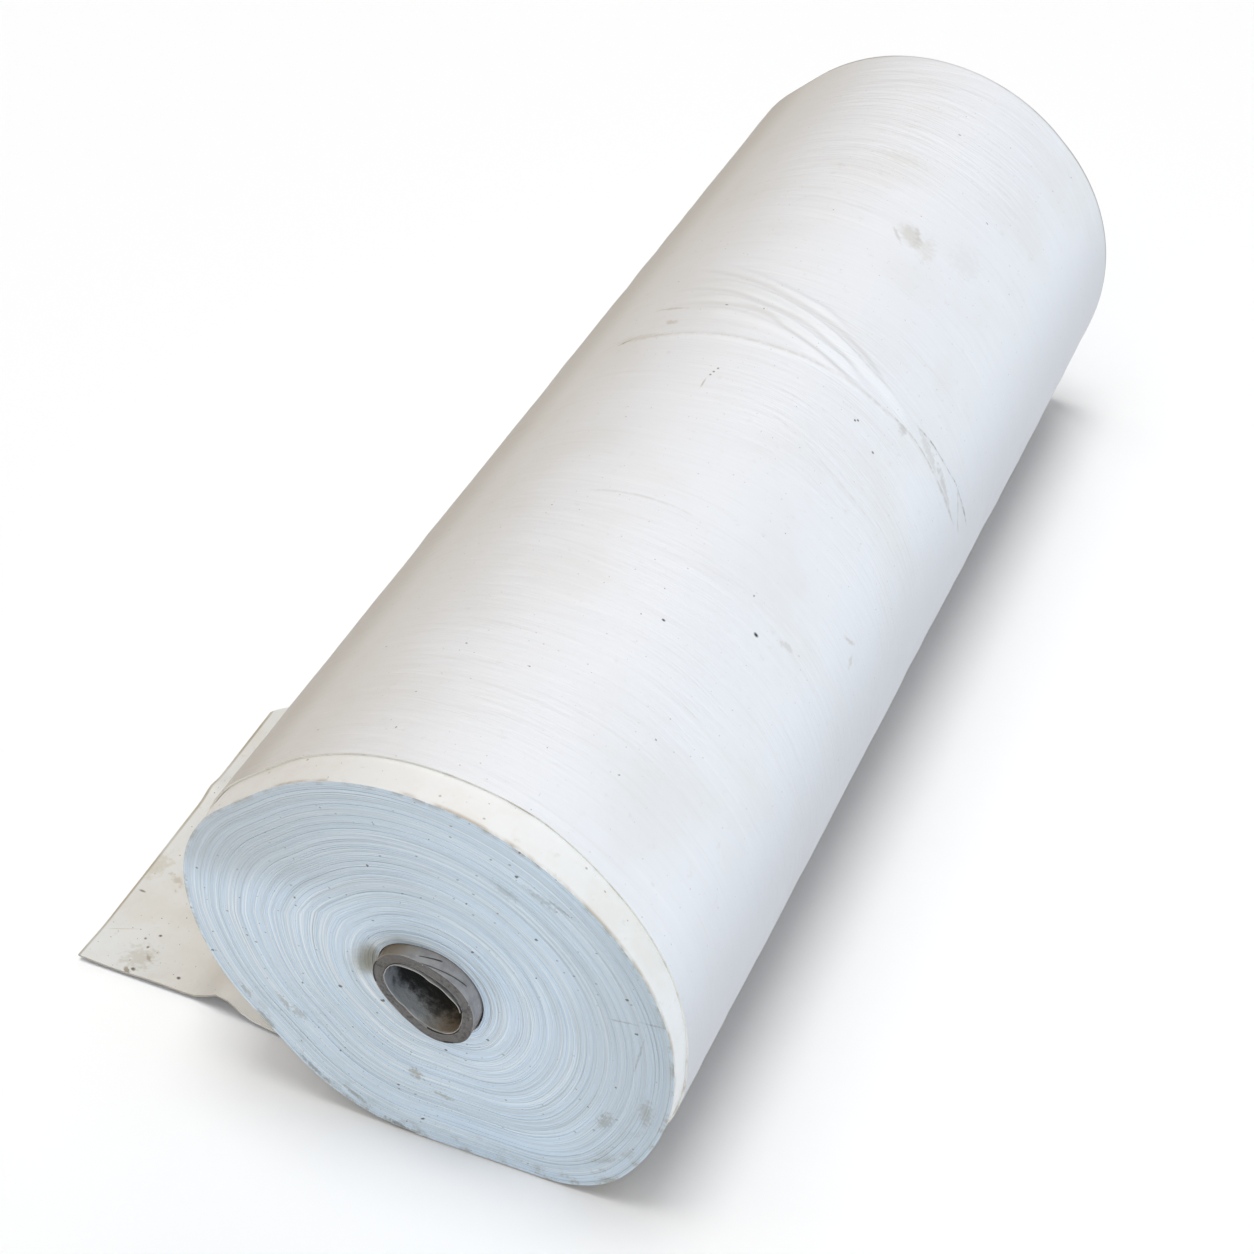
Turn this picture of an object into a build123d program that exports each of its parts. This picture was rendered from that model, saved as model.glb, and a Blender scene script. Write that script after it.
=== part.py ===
from build123d import *
from math import cos, radians, sin
import os

# Roll of roofing felt, lying on its side and sagged under its own weight.
# Millimetres, +Z up. The roll lies along Y, its front end at -Y. The origin is on the floor
# under the middle of the roll's length.

# Sheet
sheet_width = 1000.0
sheet_thickness = 1.5

# Wound body, as it has sagged
roll_width = 340.0
roll_height = 313.0
crown_x = -5.0
right_cheek_height = 138.0
left_corner_height = 175.0
contact_left = -15.0
contact_right = 78.0

# Straight stretch between the two arcs of each shoulder, on the outermost turn
upper_right_flat = 8.0
upper_left_flat = 34.0
lower_right_flat = 2.0
lower_left_flat = 48.0

# Edges of the turns, seen on both ends
turn_grooves = 7
turn_groove_width = 1.6
turn_groove_depth = 1.2
groove_margin = 11.0

# Outermost turn and its loose end
selvedge_setback = 25.0
tail_setback = 46.0
tail_reach = 304.5
tail_kink = 335.0
tail_short_reach = 258.0
tail_far_reach = 232.0
wave_start = 212.0
wave_end = 142.0
wave_height = 8.0

# Cardboard core tube, pushed out of the front end and crushed there
core_length = 1000.0
core_bore = 52.0
core_wall = 7.5
core_axis_x = 6.0
core_axis_height = 152.0
core_protrusion = 14.0
crush_length = 75.0
crush_squeeze = 5.5
crush_angle = -37.0
winding_clearance = 0.25

core_radius = core_bore / 2 + core_wall
felt_bore_radius = core_radius + winding_clearance
winding_build = roll_width / 2 - felt_bore_radius
front_y = -sheet_width / 2
core_front_y = front_y - core_protrusion
crush_end_y = core_front_y + crush_length


def section_plane(y, turn=0.0):
    """Plane across the roll at y, looking at the front end, its X turned about the axis."""
    across = (cos(radians(turn)), 0, sin(radians(turn)))
    return Plane(origin=(0, y, 0), x_dir=across, z_dir=(0, -1, 0))


def core_plane(y):
    """Plane across the core tube, centred on its axis and turned with its crushed oval."""
    across = section_plane(y, crush_angle)
    return Plane(origin=(core_axis_x, y, core_axis_height), x_dir=across.x_dir, z_dir=across.z_dir)


def quarter(start, corner, end, flat):
    """Rounded quarter of a section: an arc, a straight stretch and an arc, all tangent."""
    start, corner, end = Vector(start), Vector(corner), Vector(end)
    into, out_of = corner - start, end - corner
    chord = end - start
    sides = into.length + out_of.length
    cut = (sides + flat) / (sides + chord.length)
    slope = chord.normalized()
    flat_start = corner - into * cut + slope * into.length * (1 - cut)
    flat_end = corner + out_of * cut - slope * out_of.length * (1 - cut)
    TangentArc(start, flat_start, tangent=into)
    Line(flat_start, flat_end)
    TangentArc(flat_end, end, tangent=slope)


def turn_outline(share):
    """Closed outline of one turn: round at the core for share 0, sagged on the outside for 1."""

    def grow(inner, outer):
        return inner + share * (outer - inner)

    right = grow(core_axis_x + felt_bore_radius, roll_width / 2)
    left = grow(core_axis_x - felt_bore_radius, -roll_width / 2)
    top = grow(core_axis_height + felt_bore_radius, roll_height)
    bottom = grow(core_axis_height - felt_bore_radius, 0)
    crown = (grow(core_axis_x, crown_x), top)
    right_cheek = (right, grow(core_axis_height, right_cheek_height))
    left_corner = (left, grow(core_axis_height, left_corner_height))
    rest_left = (grow(core_axis_x, contact_left), bottom)
    rest_right = (grow(core_axis_x, contact_right), bottom)
    Line(rest_left, rest_right)
    quarter(rest_right, (right, bottom), right_cheek, share * lower_right_flat)
    quarter(right_cheek, (right, top), crown, share * upper_right_flat)
    quarter(crown, (left, top), left_corner, share * upper_left_flat)
    quarter(left_corner, (left, bottom), rest_left, share * lower_left_flat)


def tail_underside(lift):
    """Lower line of the loose end, from its cut end to the roll's contact patch."""
    foot = Vector(-wave_start, lift)
    crest = Vector(-(wave_start + wave_end) / 2, lift + wave_height)
    heel = Vector(-wave_end, lift)
    rise = (foot + crest) / 2
    fall = (crest + heel) / 2
    Line((-tail_reach, lift), foot)
    TangentArc(foot, rise, tangent=(1, 0))
    ThreePointArc(rise, crest, fall)
    TangentArc(heel, fall, tangent=(-1, 0))
    Line(heel, (contact_left, lift))


# Felt: one sheet, wound on the core, with its outermost turn set back and its end left loose
with BuildPart() as felt_roll:
    # Inner turns, one sheet thickness inside the outermost one
    with BuildSketch(section_plane(front_y)):
        with BuildLine():
            turn_outline(1 - sheet_thickness / winding_build)
        make_face()
    extrude(amount=-sheet_width)

    # Outermost turn
    with BuildSketch(section_plane(front_y + selvedge_setback)):
        with BuildLine():
            turn_outline(1)
        make_face()
    extrude(amount=selvedge_setback - sheet_width)

    # Loose end of the outermost turn, flat on the floor but for a low wave beside the roll
    with BuildSketch(section_plane(front_y + tail_setback)):
        with BuildLine():
            tail_underside(0)
            tail_underside(sheet_thickness)
            Line((-tail_reach, 0), (-tail_reach, sheet_thickness))
            Line((contact_left, 0), (contact_left, sheet_thickness))
        make_face()
    extrude(amount=tail_setback - sheet_width)

    # Its end edge turns in towards the roll beyond the kink, where the roll hides it
    kink_y = front_y + tail_kink
    past_tail = tail_reach + sheet_thickness
    with BuildSketch(Plane.XY.offset(-sheet_thickness)):
        with BuildLine():
            Polyline(
                (-past_tail, kink_y),
                (-tail_reach, kink_y),
                (-tail_short_reach, kink_y + tail_reach - tail_short_reach),
                (-tail_far_reach, -front_y + sheet_thickness),
                (-past_tail, -front_y + sheet_thickness),
                close=True,
            )
        make_face()
    extrude(amount=3 * sheet_thickness, mode=Mode.SUBTRACT)

    # Bore of the winding: round, and crushed with the core at the front
    with BuildSketch(core_plane(crush_end_y)):
        Circle(felt_bore_radius)
    extrude(amount=crush_end_y + front_y, mode=Mode.SUBTRACT)
    with BuildSketch(core_plane(crush_end_y)):
        Circle(felt_bore_radius)
    with BuildSketch(core_plane(core_front_y)):
        Ellipse(felt_bore_radius + crush_squeeze, felt_bore_radius - crush_squeeze)
    loft(mode=Mode.SUBTRACT)

    # Edges of the turns on the ends: round near the core, sagged near the outside. Each groove
    # is cut out of the one before it, from the outermost inwards.
    inmost_groove = groove_margin / winding_build
    groove_pitch = (1 - 2 * inmost_groove) / (turn_grooves - 1)
    groove_half = turn_groove_width / 2 / winding_build
    for end_y, depth in ((front_y, -turn_groove_depth), (-front_y, turn_groove_depth)):
        with BuildSketch(section_plane(end_y)):
            for turn in reversed(range(turn_grooves)):
                middle = inmost_groove + turn * groove_pitch
                with BuildLine():
                    turn_outline(middle + groove_half)
                make_face()
                with BuildLine():
                    turn_outline(middle - groove_half)
                make_face(mode=Mode.SUBTRACT)
        extrude(amount=depth, mode=Mode.SUBTRACT)
felt_roll.part.label = "felt_roll"

# Core tube: spiral-wound cardboard, as long as the sheet is wide
with BuildPart() as core_tube:
    core_back_y = core_front_y + core_length
    with BuildSketch(core_plane(core_back_y)):
        Circle(core_radius)
    extrude(amount=core_back_y - crush_end_y)
    with BuildSketch(core_plane(crush_end_y)):
        Circle(core_radius)
    with BuildSketch(core_plane(core_front_y)):
        Ellipse(core_radius + crush_squeeze, core_radius - crush_squeeze)
    loft()
    with BuildSketch(core_plane(core_back_y)):
        Circle(core_bore / 2)
    extrude(amount=core_back_y - crush_end_y, mode=Mode.SUBTRACT)
    with BuildSketch(core_plane(crush_end_y)):
        Circle(core_bore / 2)
    with BuildSketch(core_plane(core_front_y)):
        Ellipse(core_bore / 2 + crush_squeeze, core_bore / 2 - crush_squeeze)
    loft(mode=Mode.SUBTRACT)
core_tube.part.label = "core_tube"

os.makedirs("parts", exist_ok=True)
export_step(felt_roll.part, "parts/felt_roll.step")
export_step(core_tube.part, "parts/core_tube.step")
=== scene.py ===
from math import radians

import bpy
import numpy as np
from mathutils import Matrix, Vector


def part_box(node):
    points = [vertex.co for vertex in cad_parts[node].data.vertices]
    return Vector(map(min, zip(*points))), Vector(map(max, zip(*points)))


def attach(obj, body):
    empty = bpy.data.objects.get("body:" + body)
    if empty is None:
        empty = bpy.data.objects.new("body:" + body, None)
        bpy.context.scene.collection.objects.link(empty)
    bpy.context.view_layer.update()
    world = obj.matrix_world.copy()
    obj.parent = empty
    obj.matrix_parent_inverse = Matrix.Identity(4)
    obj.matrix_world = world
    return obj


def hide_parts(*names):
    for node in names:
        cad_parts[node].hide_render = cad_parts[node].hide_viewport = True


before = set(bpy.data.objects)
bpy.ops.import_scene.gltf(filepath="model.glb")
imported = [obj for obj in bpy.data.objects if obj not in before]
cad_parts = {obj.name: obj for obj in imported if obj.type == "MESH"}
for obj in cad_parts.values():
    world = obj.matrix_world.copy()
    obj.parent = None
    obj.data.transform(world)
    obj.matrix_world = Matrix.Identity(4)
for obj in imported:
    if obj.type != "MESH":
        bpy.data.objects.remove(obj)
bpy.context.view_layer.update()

bpy.ops.object.select_all(action="DESELECT")

# Sizes in metres. The roll lies along Y, its front end at -Y, and the loose end lies at -X.
felt_low, felt_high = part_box("felt_roll")
core_low, core_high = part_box("core_tube")
front_y, far_y = felt_low[1], felt_high[1]
roll_half_width = felt_high[0]
roll_height = felt_high[2]
tail_end_x = felt_low[0]

sheet_thickness = 0.0015
crown_x = -0.005
right_cheek_height = 0.138
left_corner_height = 0.175
contact_left = -0.015
contact_right = 0.078
shoulder_flats = {"lower_right": 0.002, "upper_right": 0.008, "upper_left": 0.034, "lower_left": 0.048}
core_x = 0.006
core_z = 0.152
core_radius = 0.0335
core_wall = 0.0075
bore_radius = 0.03375
crush_length = 0.075


# Smooth random heights

def ripple(seed, across, along):
    """Smooth random value from -1 to 1, with about one swell for each unit of across and along."""
    size = 64
    table = np.random.default_rng(seed).uniform(-1, 1, (size, size))
    across, along = np.broadcast_arrays(np.asarray(across, float), np.asarray(along, float))
    cell_x, cell_y = np.floor(across).astype(int), np.floor(along).astype(int)
    part_x, part_y = across - cell_x, along - cell_y
    ease_x = part_x * part_x * (3 - 2 * part_x)
    ease_y = part_y * part_y * (3 - 2 * part_y)

    def between(row):
        left, right = table[cell_x % size, row % size], table[(cell_x + 1) % size, row % size]
        return left * (1 - ease_x) + right * ease_x

    return between(cell_y) * (1 - ease_y) + between(cell_y + 1) * ease_y


def smooth_step(value, start, end):
    """0 before start, 1 after end, and a smooth rise between."""
    share = np.clip((value - start) / (end - start), 0, 1)
    return share * share * (3 - 2 * share)


# Section of the roll

def arc_point(start, end, tangent, share):
    """Point at a share of the arc that leaves start along tangent and ends at end."""
    across, up = end[0] - start[0], end[1] - start[1]
    turn = 2 * np.arctan2(tangent[0] * up - tangent[1] * across, tangent[0] * across + tangent[1] * up)
    radius = np.hypot(across, up) / (2 * np.sin(turn / 2))
    sweep = turn * share
    ahead, aside = radius * np.sin(sweep), radius * (1 - np.cos(sweep))
    x = start[0] + ahead * tangent[0] - aside * tangent[1]
    z = start[1] + ahead * tangent[1] + aside * tangent[0]
    return x, z


def quarter_point(start, corner, end, flat, share):
    """Point at a share of a rounded quarter: an arc, a straight stretch and an arc, all tangent."""
    into = (corner[0] - start[0], corner[1] - start[1])
    out_of = (end[0] - corner[0], end[1] - corner[1])
    into_length, out_length = np.hypot(*into), np.hypot(*out_of)
    chord = (end[0] - start[0], end[1] - start[1])
    chord_length = np.hypot(*chord)
    cut = (into_length + out_length + flat) / (into_length + out_length + chord_length)
    slope = (chord[0] / chord_length, chord[1] / chord_length)
    heading = (into[0] / into_length, into[1] / into_length)
    flat_start = [corner[i] - into[i] * cut + slope[i] * into_length * (1 - cut) for i in (0, 1)]
    flat_end = [corner[i] + out_of[i] * cut - slope[i] * out_length * (1 - cut) for i in (0, 1)]
    first = into_length / (into_length + out_length) * (1 - flat / chord_length)
    second = first + flat / chord_length
    on_first = arc_point(start, flat_start, heading, np.minimum(share / first, 1))
    on_second = arc_point(flat_end, end, slope, np.clip((share - second) / (1 - second), 0, 1))
    middle = np.clip((share - first) / np.maximum(second - first, 1e-6), 0, 1)
    on_flat = [flat_start[i] + (flat_end[i] - flat_start[i]) * middle for i in (0, 1)]
    past_flat = [np.where(share > second, on_second[i], on_flat[i]) for i in (0, 1)]
    return [np.where(share < first, on_first[i], past_flat[i]) for i in (0, 1)]


def turn_point(share, around):
    """Point of the turn at a share of the build-up, once around from the left end of its contact patch."""

    def grow(inner, outer):
        return inner + share * (outer - inner)

    right, left = grow(core_x + bore_radius, roll_half_width), grow(core_x - bore_radius, -roll_half_width)
    top, bottom = grow(core_z + bore_radius, roll_height), grow(core_z - bore_radius, 0)
    crown = (grow(core_x, crown_x), top)
    right_cheek = (right, grow(core_z, right_cheek_height))
    left_corner = (left, grow(core_z, left_corner_height))
    rest_left = (grow(core_x, contact_left), bottom)
    rest_right = (grow(core_x, contact_right), bottom)
    stretches = (
        (rest_right, (right, bottom), right_cheek, "lower_right", 0.09, 0.27),
        (right_cheek, (right, top), crown, "upper_right", 0.27, 0.53),
        (crown, (left, top), left_corner, "upper_left", 0.53, 0.765),
        (left_corner, (left, bottom), rest_left, "lower_left", 0.765, 1.0),
    )
    on_floor = np.clip(around / stretches[0][4], 0, 1)
    x = rest_left[0] + (rest_right[0] - rest_left[0]) * on_floor
    z = bottom + 0 * on_floor
    for start, corner, end, shoulder, first, last in stretches:
        inside = np.clip((around - first) / (last - first), 0, 1)
        quarter = quarter_point(start, corner, end, share * shoulder_flats[shoulder], inside)
        chosen = around > first
        x, z = np.where(chosen, quarter[0], x), np.where(chosen, quarter[1], z)
    return x, z


# The outermost turn's outline, as points along its length with their outward normals
outline_around = np.linspace(0, 1, 1601)
outline_x, outline_z = turn_point(np.ones_like(outline_around), outline_around)
outline_path = np.concatenate([[0], np.cumsum(np.hypot(np.diff(outline_x), np.diff(outline_z)))])
girth = outline_path[-1]
normal_x = np.gradient(outline_z, outline_path)
normal_z = -np.gradient(outline_x, outline_path)


# Mesh helpers

def shaped_grid(name, columns, rows, place):
    """A grid primitive whose vertices are moved to place(u, v), with the UVs that place gives."""
    bpy.ops.object.select_all(action="DESELECT")
    bpy.ops.mesh.primitive_grid_add(x_subdivisions=columns, y_subdivisions=rows, size=2)
    piece = bpy.context.object
    piece.name = name
    piece.data.name = name
    mesh = piece.data
    flat = np.empty(len(mesh.vertices) * 3)
    mesh.vertices.foreach_get("co", flat)
    flat = flat.reshape(-1, 3)
    points, pattern = place((flat[:, 0] + 1) / 2, (flat[:, 1] + 1) / 2)
    mesh.vertices.foreach_set("co", np.ascontiguousarray(points, dtype=np.float32).ravel())
    corners = np.empty(len(mesh.loops), dtype=np.int32)
    mesh.loops.foreach_get("vertex_index", corners)
    corner_pattern = np.ascontiguousarray(pattern[corners], dtype=np.float32)
    mesh.uv_layers[0].data.foreach_set("uv", corner_pattern.ravel())
    mesh.uv_layers[0].name = "along_sheet"
    mesh.update()
    return piece


def pick(piece):
    """Selects one piece alone, for the operators that follow."""
    bpy.ops.object.select_all(action="DESELECT")
    piece.select_set(True)
    bpy.context.view_layer.objects.active = piece


def close_seams(piece, fill=True):
    """Merges the grid's meeting edges, closes open ends if fill is set, and turns faces outwards."""
    pick(piece)
    bpy.ops.object.mode_set(mode="EDIT")
    bpy.ops.mesh.select_all(action="SELECT")
    bpy.ops.mesh.remove_doubles(threshold=0.00001)
    if fill:
        bpy.ops.mesh.select_all(action="DESELECT")
        bpy.ops.mesh.select_non_manifold(
            extend=False, use_wire=False, use_multi_face=False, use_non_contiguous=False
        )
        bpy.ops.mesh.fill_holes(sides=0)
    bpy.ops.mesh.select_all(action="SELECT")
    bpy.ops.mesh.normals_make_consistent(inside=False)
    bpy.ops.object.mode_set(mode="OBJECT")


def finish_shading(piece, angle=30):
    """Smooth shading, with edges sharper than angle degrees kept sharp."""
    pick(piece)
    bpy.ops.object.shade_smooth_by_angle(angle=radians(angle))


def apply_modifiers(piece):
    """Makes the piece's modifiers part of its mesh."""
    pick(piece)
    for modifier in list(piece.modifiers):
        bpy.ops.object.modifier_apply(modifier=modifier.name)


# Wound turns: one long spiral of the sheet's edges on each end

wound_turns = 90
turn_segments = 192
turn_share = 1 / (wound_turns + 2)
gap_share = 0.12
felt_dish = 0.0005

# Outside of the crushed core, as degrees about its axis and radii in mm: at its end, and where it
# leaves the felt
core_end_shape = (
    (8, 33, 68, 97, 117, 133, 158, 171, 192, 219, 249, 271, 289, 307, 322, 344),
    (35.4, 34.5, 32.3, 34.8, 38.8, 39.4, 36.4, 33.2, 27.6, 24.0, 24.6, 29.0, 33.0, 35.2, 37.0, 35.4),
)
core_mouth_shape = (
    (11, 33, 55, 73, 98, 114, 127, 145, 160, 192, 219, 249, 271, 290, 312, 333, 352),
    (32.6, 31.5, 31.2, 31.3, 31.6, 33.4, 35.2, 37.0, 38.3, 34.0, 29.0, 28.5, 31.0, 35.0, 39.2, 35.8, 34.3),
)


def ring_radius(angle, shape):
    """Radius of a crushed ring at an angle, rounded between the points of its shape."""
    spread = np.linspace(-0.16, 0.16, 7)
    radii = [np.interp(np.degrees(angle + step) % 360, *shape, period=360) for step in spread]
    return 0.001 * sum(radii) / len(spread)


def ring_ripple(seed, angle, swells, along):
    """Smooth random value around a ring, which meets itself after a full turn."""
    return ripple(seed, swells * np.cos(angle), swells * np.sin(angle) + along)


def crushed_radius(angle, y):
    """Outer radius of the core tube: crushed at its front end and round further in."""
    in_felt = smooth_step(y, core_low[1], front_y)
    inside = smooth_step(y, front_y, front_y + crush_length)
    at_end, at_mouth = ring_radius(angle, core_end_shape), ring_radius(angle, core_mouth_shape)
    pushed_out = at_end * (1 - in_felt) + at_mouth * in_felt
    return pushed_out * (1 - inside) + core_radius * inside


def crushed(x, z, y):
    """Moves points of the felt as the crushed core pushes them."""
    across, up = x - core_x, z - core_z
    radius, angle = np.hypot(across, up), np.arctan2(up, across)
    push = crushed_radius(angle, np.maximum(y, front_y)) - core_radius
    fade = np.exp(-((radius - core_radius) / 0.020).clip(0, None))
    moved = radius + push * fade
    return core_x + moved * np.cos(angle), core_z + moved * np.sin(angle)


def bent(x, z, share):
    """Bends the turns more sharply along the line that runs from the left corner to the core."""
    across, up = x - core_x, z - core_z
    radius, angle = np.hypot(across, up), np.arctan2(up, across)
    line_radius = (0.059, 0.073, 0.085, 0.097, 0.113, 0.129, 0.141, 0.166, 0.176)
    line_degrees = (150, 150, 158, 166, 170, 175, 177, 178.5, 178)
    line_angle = np.radians(np.interp(radius, line_radius, line_degrees))
    off_line = np.abs(np.angle(np.exp(1j * (angle - line_angle))))
    depth = 0.0024 * smooth_step(share, 0.12, 0.35) * (1 - smooth_step(share, 0.84, 1.0))
    stretch = 1 + depth * np.exp(-off_line / 0.15) / radius
    return core_x + across * stretch, core_z + up * stretch


def edge_wander(turns):
    """How far the sheet's edge stands out along the axis, at a place counted in turns from outside."""
    return (
        0.00038 * ripple(11, turns * 2.3, 0.5)
        + 0.00012 * ripple(12, turns * 7.0, 0.5)
        + 0.00035 * ripple(13, turns * 0.23, 0.5)
    )


def place_wound(u, v):
    """Puts the grid on both ends: from the core outwards in front, over the side, and back inwards."""
    rows = 4 * wound_turns + 1
    row = np.rint(v * rows).astype(int)
    front_rows = 2 * wound_turns
    on_front = (row >= 1) & (row <= front_rows)
    on_bore_far = (row == 0) | (row == rows)
    from_core = np.where(on_front, row - 1, rows - 1 - row)
    from_core = np.where(on_bore_far, 0, from_core)
    turn = wound_turns - from_core // 2
    outer_edge = from_core % 2 == 1
    place = turn + u
    share = 1 - place * turn_share - np.where(outer_edge, 0, turn_share * (1 - gap_share))
    x, z = bent(*turn_point(share, u), share)
    dish = felt_dish * (1 - share) ** 1.5
    hollow = 0.0018 * np.exp(-((x + 0.032) ** 2 + (z - 0.173) ** 2) / 0.00022)
    front = front_y + dish + hollow + edge_wander(place)
    y = np.where(on_front, front, far_y - dish * 0.7 + edge_wander(place + 31.7))
    x, z = crushed(x, z, y)
    pattern = np.stack([u, place + np.where(outer_edge, 0, 0.5)], axis=1)
    return np.stack([x, y, z], axis=1), pattern


wound_felt = shaped_grid("felt_wound_turns", turn_segments, 4 * wound_turns + 1, place_wound)
close_seams(wound_felt)

# Outermost turn and its loose end: one sheet, from its cut end on the floor and once round the roll

path_start = tail_end_x - contact_left
path_columns = 168
width_rows = 268


def end_edge(y):
    """Where the loose end's cut edge lies: straight in front, and turned in from its kink."""
    wobble = 0.0009 * ripple(33, y * 13, 0.5) - 0.0009
    corners_y = (-0.45, -0.171, -0.123, 0.5)
    corners_x = (tail_end_x, tail_end_x - 0.004, -0.256, -0.230)
    return np.interp(y, corners_y, corners_x) - wobble


def selvedge_setback(path):
    """How far the outermost turn's front edge lies back from the wound turns, along its path."""
    places = (path_start, -0.19, -0.127, 0.0, 0.18, 0.23, 0.27, 0.34, 0.42, 0.47, 0.52, 0.62, 0.76, 1.04)
    setbacks_mm = (46, 45, 39, 34, 29, 22, 18, 23, 26, 28, 26, 25, 29, 30)
    return 0.001 * np.interp(path, places, setbacks_mm)


def ridge(path, y, line, height, width, soft_ends=0.03):
    """Height of a raised fold along a line of (path, y) points, fading out at both ends."""
    places, centres = zip(*sorted(line))
    centre = np.interp(path, places, centres)
    fade = smooth_step(path, places[0], places[0] + soft_ends)
    fade = fade * (1 - smooth_step(path, places[-1] - soft_ends, places[-1]))
    return height * fade * np.exp(-(((y - centre) / width) ** 2))


def outer_relief(path, y):
    """Wrinkles and creases of the outermost turn: how far its face stands out.

    Each fold is a line of (path, y) points.
    """
    top = [(0.47, 0.083), (0.497, 0.094), (0.517, 0.097), (0.540, 0.102), (0.568, 0.112), (0.62, 0.130)]
    upper = [(0.385, 0.059), (0.408, 0.056), (0.451, 0.061), (0.492, 0.074), (0.540, 0.087), (0.61, 0.101)]
    middle = [(0.44, 0.046), (0.472, 0.053), (0.493, 0.056), (0.518, 0.064), (0.561, 0.073), (0.61, 0.076)]
    lower = [(0.43, 0.034), (0.470, 0.040), (0.520, 0.050), (0.560, 0.056), (0.60, 0.057)]
    long_crease = [
        (0.305, 0.056), (0.359, 0.047), (0.409, 0.043), (0.460, 0.036), (0.530, 0.025), (0.65, 0.013)
    ]
    sharp_crease = [(0.285, 0.084), (0.325, 0.077), (0.374, 0.067), (0.393, 0.062), (0.41, 0.058)]
    right_fold = [(0.26, 0.060), (0.303, 0.063), (0.328, 0.072), (0.36, 0.079)]
    # Line, height and half width of the folds that fan out over the crown
    fan = ((top, 0.0016, 0.0040), (upper, 0.0030, 0.0036), (middle, 0.0025, 0.0034), (lower, 0.0014, 0.0036))
    folds = (
        np.maximum.reduce([ridge(path, y, *fold) for fold in fan])
        + ridge(path, y, long_crease, 0.0010, 0.0032)
        + ridge(path, y, sharp_crease, -0.0014, 0.0022)
        + ridge(path, y, right_fold, 0.0010, 0.0050)
    )
    swell = 0.00035 * ripple(21, path * 4, y * 14) + 0.00030 * ripple(25, path * 5, y * 34 + path * 4)
    streaks = 0.00020 * ripple(22, path * 8, y * 75 + path * 6)
    streaks = streaks * (0.6 + 0.4 * ripple(24, path * 3, y * 5))
    off_floor = smooth_step(path, 0.09, 0.16) * (1 - smooth_step(path, girth - 0.06, girth))
    return (folds + swell + streaks) * off_floor


def tail_lift(x, y):
    """Height of the loose end's underside above the floor."""
    from_front = y - front_y
    wave_centre = -0.185 - 0.02 * smooth_step(from_front, 0.05, 0.3)
    wave_height = 0.0125 - 0.0075 * smooth_step(from_front, 0.05, 0.25)
    wave = wave_height * np.exp(-(((x - wave_centre) / 0.0155) ** 2))
    off_fold = from_front - 0.235 - (x + 0.30) * 0.5
    fold = 0.0030 * np.exp(-((off_fold / 0.010) ** 2)) * smooth_step(-x, 0.22, 0.29)
    curl = 0.0016 * smooth_step(-x, 0.255, 0.304) * (0.5 + 0.5 * ripple(31, from_front * 9, 0.5))
    swell = 0.0009 * (0.5 + 0.5 * ripple(32, x * 16, y * 9))
    lip = 0.0045 * (1 - smooth_step(from_front, 0.04, 0.085)) * (0.7 + 0.3 * ripple(34, x * 25, 0.5))
    free = smooth_step(-x, 0.10, 0.16)
    return (wave + fold + curl + swell + lip) * free


# Shares of the columns at places along the path, closer together where the folds are
column_shares = (0.0, 0.18, 0.22, 0.34, 0.78, 0.87, 1.0)
column_places = (0.0, 0.0, 0.09, 0.28, 0.61, 0.76, girth)


def place_outer(u, v):
    """Puts the grid along the sheet, from the loose end's cut edge once round the roll."""
    on_tail = 1 - np.clip(u / column_shares[1], 0, 1)
    path = np.interp(u, column_shares, column_places) + path_start * on_tail
    spread = np.interp(v, (0, 0.46, 0.74, 1), (0, 0.505, 0.64, 1))
    y = front_y + selvedge_setback(path) * (1 - spread) + (far_y - front_y) * spread
    y = y + 0.0012 * ripple(41, path * 6, 0.5) * (1 - spread) - 0.0010 * ripple(42, path * 6, 0.5) * spread
    y = np.minimum(y, far_y)
    path = path + (end_edge(y) - tail_end_x) * on_tail
    on_roll = path > 0
    inward = sheet_thickness * np.clip(path, 0, girth) / girth
    out = np.where(on_roll, outer_relief(path, y), 0) - inward
    x = np.interp(path, outline_path, outline_x) + out * np.interp(path, outline_path, normal_x)
    z = np.interp(path, outline_path, outline_z) + out * np.interp(path, outline_path, normal_z)
    tail_x = contact_left + path
    x = np.where(on_roll, x, tail_x)
    z = np.where(on_roll, z, tail_lift(tail_x, y))
    return np.stack([x, y, z], axis=1), np.stack([path, y], axis=1)


outer_felt = shaped_grid("felt_outer_turn", path_columns, width_rows, place_outer)
middle_face = outer_felt.data.polygons[len(outer_felt.data.polygons) // 2]
outward = Vector((middle_face.center.x, 0, middle_face.center.z - core_z))
if middle_face.normal.dot(outward) < 0:
    outer_felt.data.flip_normals()
thickness = outer_felt.modifiers.new("thickness", "SOLIDIFY")
thickness.thickness = sheet_thickness
thickness.offset = -1
thickness.material_offset = 1
thickness.material_offset_rim = 2

# Core tube: wound from strips of board, pushed out of the front end and crushed there

core_segments = 120
core_side_rows = 24
core_plies = 9
loose_ply_length = 0.16
loose_ply_thickness = 0.0005
core_front_y, core_far_y = core_low[1], core_high[1]


def core_wall_point(angle, radius, y):
    """Point of the tube's wall: round inside the roll, and crushed towards its front end."""
    squeezed = crushed_radius(angle, y) - (core_radius - radius)
    return core_x + squeezed * np.cos(angle), core_z + squeezed * np.sin(angle)


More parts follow.
